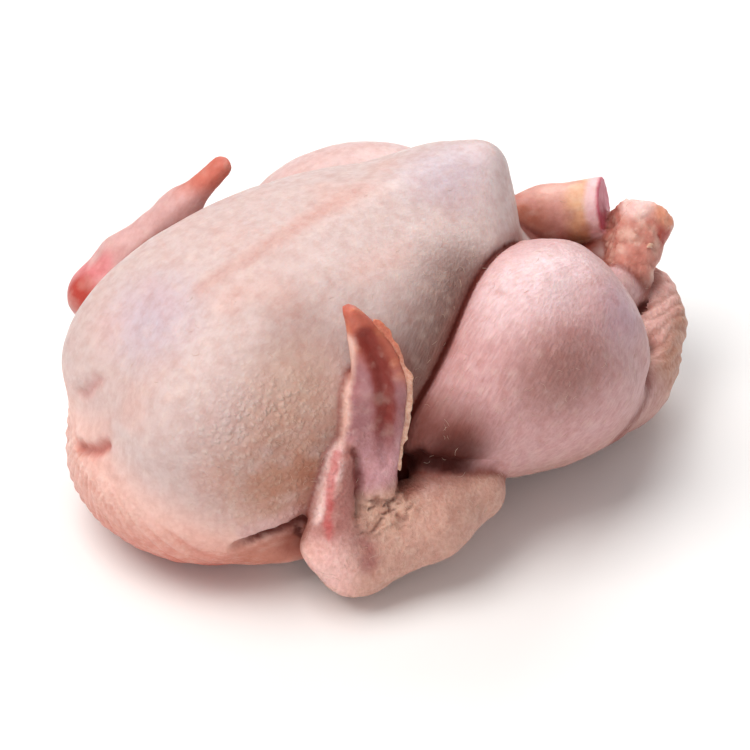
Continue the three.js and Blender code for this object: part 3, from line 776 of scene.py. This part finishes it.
def strip(line, half_width, half_thickness, seed):
    """A flat strip along a line: an ellipse across, whose width varies from 0.3 to 1.4 of itself."""
    stations, round_it = 72, 10
    line = np.array(line, float)
    run = np.concatenate([[0], np.cumsum(np.linalg.norm(np.diff(line, axis=0), axis=1))])
    s = np.linspace(0, run[-1], stations)
    centre = np.stack([np.interp(s, run, line[:, i]) for i in range(3)], 1)
    padded = np.pad(centre, ((3, 3), (0, 0)), mode="edge")
    centre = sum(padded[i:i + stations] for i in range(7)) / 7
    heading = np.gradient(centre, axis=0)
    heading /= np.linalg.norm(heading, axis=1, keepdims=True)
    out_of_skin = TOWARDS_NEAR_SIDE - heading * (heading @ TOWARDS_NEAR_SIDE)[:, None]
    out_of_skin /= np.linalg.norm(out_of_skin, axis=1, keepdims=True)
    sideways = np.cross(heading, out_of_skin)

    def unevenness(shift, size, number):
        """Lumps read along the strip, from a place of their own."""
        return lumps((s + shift, np.zeros(stations), np.zeros(stations)), size, seed + number)

    ragged = 0.85 + 0.30 * unevenness(5, 4.5, 0) + 0.22 * unevenness(9, 1.6, 1)
    taper = np.sqrt(np.clip(np.minimum(s, run[-1] - s) / (1.5 * half_width), 0.01, 1))
    centre = centre + out_of_skin * (0.5 * unevenness(3, 4.0, 2))[:, None]
    centre = centre + sideways * (0.6 * unevenness(7, 3.5, 3))[:, None]
    turn = np.linspace(0, 2 * math.pi, round_it, endpoint=False)
    across = np.cos(turn)[None, :, None] * sideways[:, None] * (half_width * ragged * taper)[:, None, None]
    out = np.sin(turn)[None, :, None] * out_of_skin[:, None] * (half_thickness * taper)[:, None, None]
    shell = (centre[:, None] + across + out).reshape(-1, 3)
    i, j = np.meshgrid(np.arange(stations - 1), np.arange(round_it), indexing="ij")
    a, b = i * round_it + j, i * round_it + (j + 1) % round_it
    sides = np.stack([a, b, b + round_it, a + round_it], -1).reshape(-1, 4)
    ends = [list(range(round_it))[::-1], [(stations - 1) * round_it + k for k in range(round_it)]]
    return shell, sides.tolist() + ends, np.repeat(s / run[-1], round_it)


shred_points, shred_faces, shred_colours = [], [], []
for number, (line, half_width, half_thickness, first, last) in enumerate(SHREDS):
    shell, faces, share = strip(line, half_width, half_thickness, 60 + 5 * number)
    start = sum(len(part) for part in shred_points)
    shred_faces += [[start + corner for corner in face] for face in faces]
    shred_points.append(shell)
    ends = np.array([linear(first)[:3], linear(last)[:3]])
    shred_colours.append(ends[0] + (ends[1] - ends[0]) * ramp(share, 0.1, 0.55)[:, None])
shred_points = np.concatenate(shred_points)
shred_mesh = bpy.data.meshes.new("torn_skin")
shred_mesh.from_pydata((shred_points - np.array(MIDDLE)) * MM, [], shred_faces)
shred_mesh.polygons.foreach_set("use_smooth", np.ones(len(shred_faces), bool))
uneven = 1 + 0.14 * lumps(tuple(shred_points.T), 1.6, 90)
attribute(shred_mesh, "skin_colour", np.concatenate(shred_colours) * uneven[:, None])
shreds = bpy.data.objects.new("torn_skin", shred_mesh)
bpy.context.scene.collection.objects.link(shreds)
torn, tree, out = material("torn_fatty_skin")
where = node(tree, "ShaderNodeTexCoord").outputs["Object"]
fatty = node(tree, "ShaderNodeAttribute", {"attribute_name": "skin_colour"}).outputs["Color"]
SPECK_SPACING, GRAIN_SPACING = 1.2 * MM, 0.8 * MM
specks = smooth(grain_of(where, 1 / SPECK_SPACING, 3.0, 0.6), 0.35, 0.65, 0.0, 0.5)
fatty = mix(specks, fatty, linear("#d99f88"), "MULTIPLY")
rough = node(tree, "ShaderNodeBump", Strength=0.7, Distance=0.4 * MM,
             Height=grain_of(where, 1 / GRAIN_SPACING, 3.0, 0.6))
fat = node(tree, "ShaderNodeBsdfPrincipled", Base_Color=fatty, Roughness=0.45, IOR=1.42,
           Subsurface_Weight=0.4, Subsurface_Radius=(1.0, 0.5, 0.3), Subsurface_Scale=2 * MM,
           Normal=rough.outputs["Normal"])
tree.links.new(fat.outputs[0], out.inputs["Surface"])
shred_mesh.materials.append(torn)
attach(shreds, "root")

# ---------------------------------------------------------------------------------------------------------
# The down that plucking leaves: pale filaments 1.2 to 3.2 mm long and 0.12 mm thick, which lie curled just
# over the damp skin. Each is a three-sided tube along a short arc, seeded where the skin is downy.
DOWN_COUNT = 500
DOWN_RADIUS, DOWN_LIFT = 0.06, 0.10  # the lift is from the skin to the middle of a filament
DOWN_RINGS, DOWN_SIDES = 6, 3
seeds = np.random.default_rng(31)
corners = points[quads]
area = np.linalg.norm(np.cross(corners[:, 2] - corners[:, 0], corners[:, 3] - corners[:, 1]), axis=1)
wanted = 0.5 * flank + 0.9 * front + 0.4 * on_leg * (1 - ramp(z, 66, 84)) + 0.8 * near_arm + 0.04
wanted = wanted * (1 - near_hand) * (1 - thumb) * (1 - shade) * (1 - underside) * (y < 10)
wanted = wanted[quads].mean(1) * area
grown_on = seeds.choice(len(quads), DOWN_COUNT, p=wanted / wanted.sum())
root = corners[grown_on].mean(1)
up = normals[quads[grown_on]].mean(1)
up /= np.linalg.norm(up, axis=1, keepdims=True)
lean = np.cross(up, seeds.normal(size=(DOWN_COUNT, 3)))
lean /= np.linalg.norm(lean, axis=1, keepdims=True)
aside = np.cross(up, lean)
length = seeds.uniform(1.2, 3.2, DOWN_COUNT)[:, None, None]
curl = seeds.uniform(-1.4, 1.4, DOWN_COUNT)[:, None, None]
t = np.linspace(-0.5, 0.5, DOWN_RINGS)[None, :, None]
spine = (root[:, None] + lean[:, None] * length * t + aside[:, None] * length * curl * t * t
         + up[:, None] * (DOWN_LIFT + 0.9 * np.abs(t) ** 3 * length * 0.3))
thick = DOWN_RADIUS * (1 - 1.3 * np.abs(t) ** 2)[..., None]
turn = np.radians([90, 210, 330])[None, None, :, None]  # one angle for each side
tube = spine[:, :, None] + thick * (np.cos(turn) * aside[:, None, None] + np.sin(turn) * up[:, None, None])
down_points = tube.reshape(-1, 3)
i, j, k = np.meshgrid(np.arange(DOWN_COUNT), np.arange(DOWN_RINGS - 1), np.arange(DOWN_SIDES), indexing="ij")
ring_start = (i * DOWN_RINGS + j) * DOWN_SIDES
a, b = ring_start + k, ring_start + (k + 1) % DOWN_SIDES
down_faces = np.stack([a, a + DOWN_SIDES, b + DOWN_SIDES, b], -1).reshape(-1, 4).tolist()
first = np.arange(DOWN_COUNT)[:, None] * DOWN_RINGS * DOWN_SIDES
last = first + DOWN_RINGS * DOWN_SIDES - 1
down_faces += np.concatenate([first + [0, 1, 2], last - [0, 1, 2]]).tolist()
down_mesh = bpy.data.meshes.new("down")
down_mesh.from_pydata((down_points - np.array(MIDDLE)) * MM, [], down_faces)
down_mesh.polygons.foreach_set("use_smooth", np.ones(len(down_faces), bool))
down = bpy.data.objects.new("down", down_mesh)
bpy.context.scene.collection.objects.link(down)
pale_down, tree, out = material("damp_pale_down")
filament = node(tree, "ShaderNodeBsdfPrincipled", Base_Color=linear("#d6baa8"), Roughness=0.5, IOR=1.45)
tree.links.new(filament.outputs[0], out.inputs["Surface"])
down_mesh.materials.append(pale_down)
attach(down, "root")
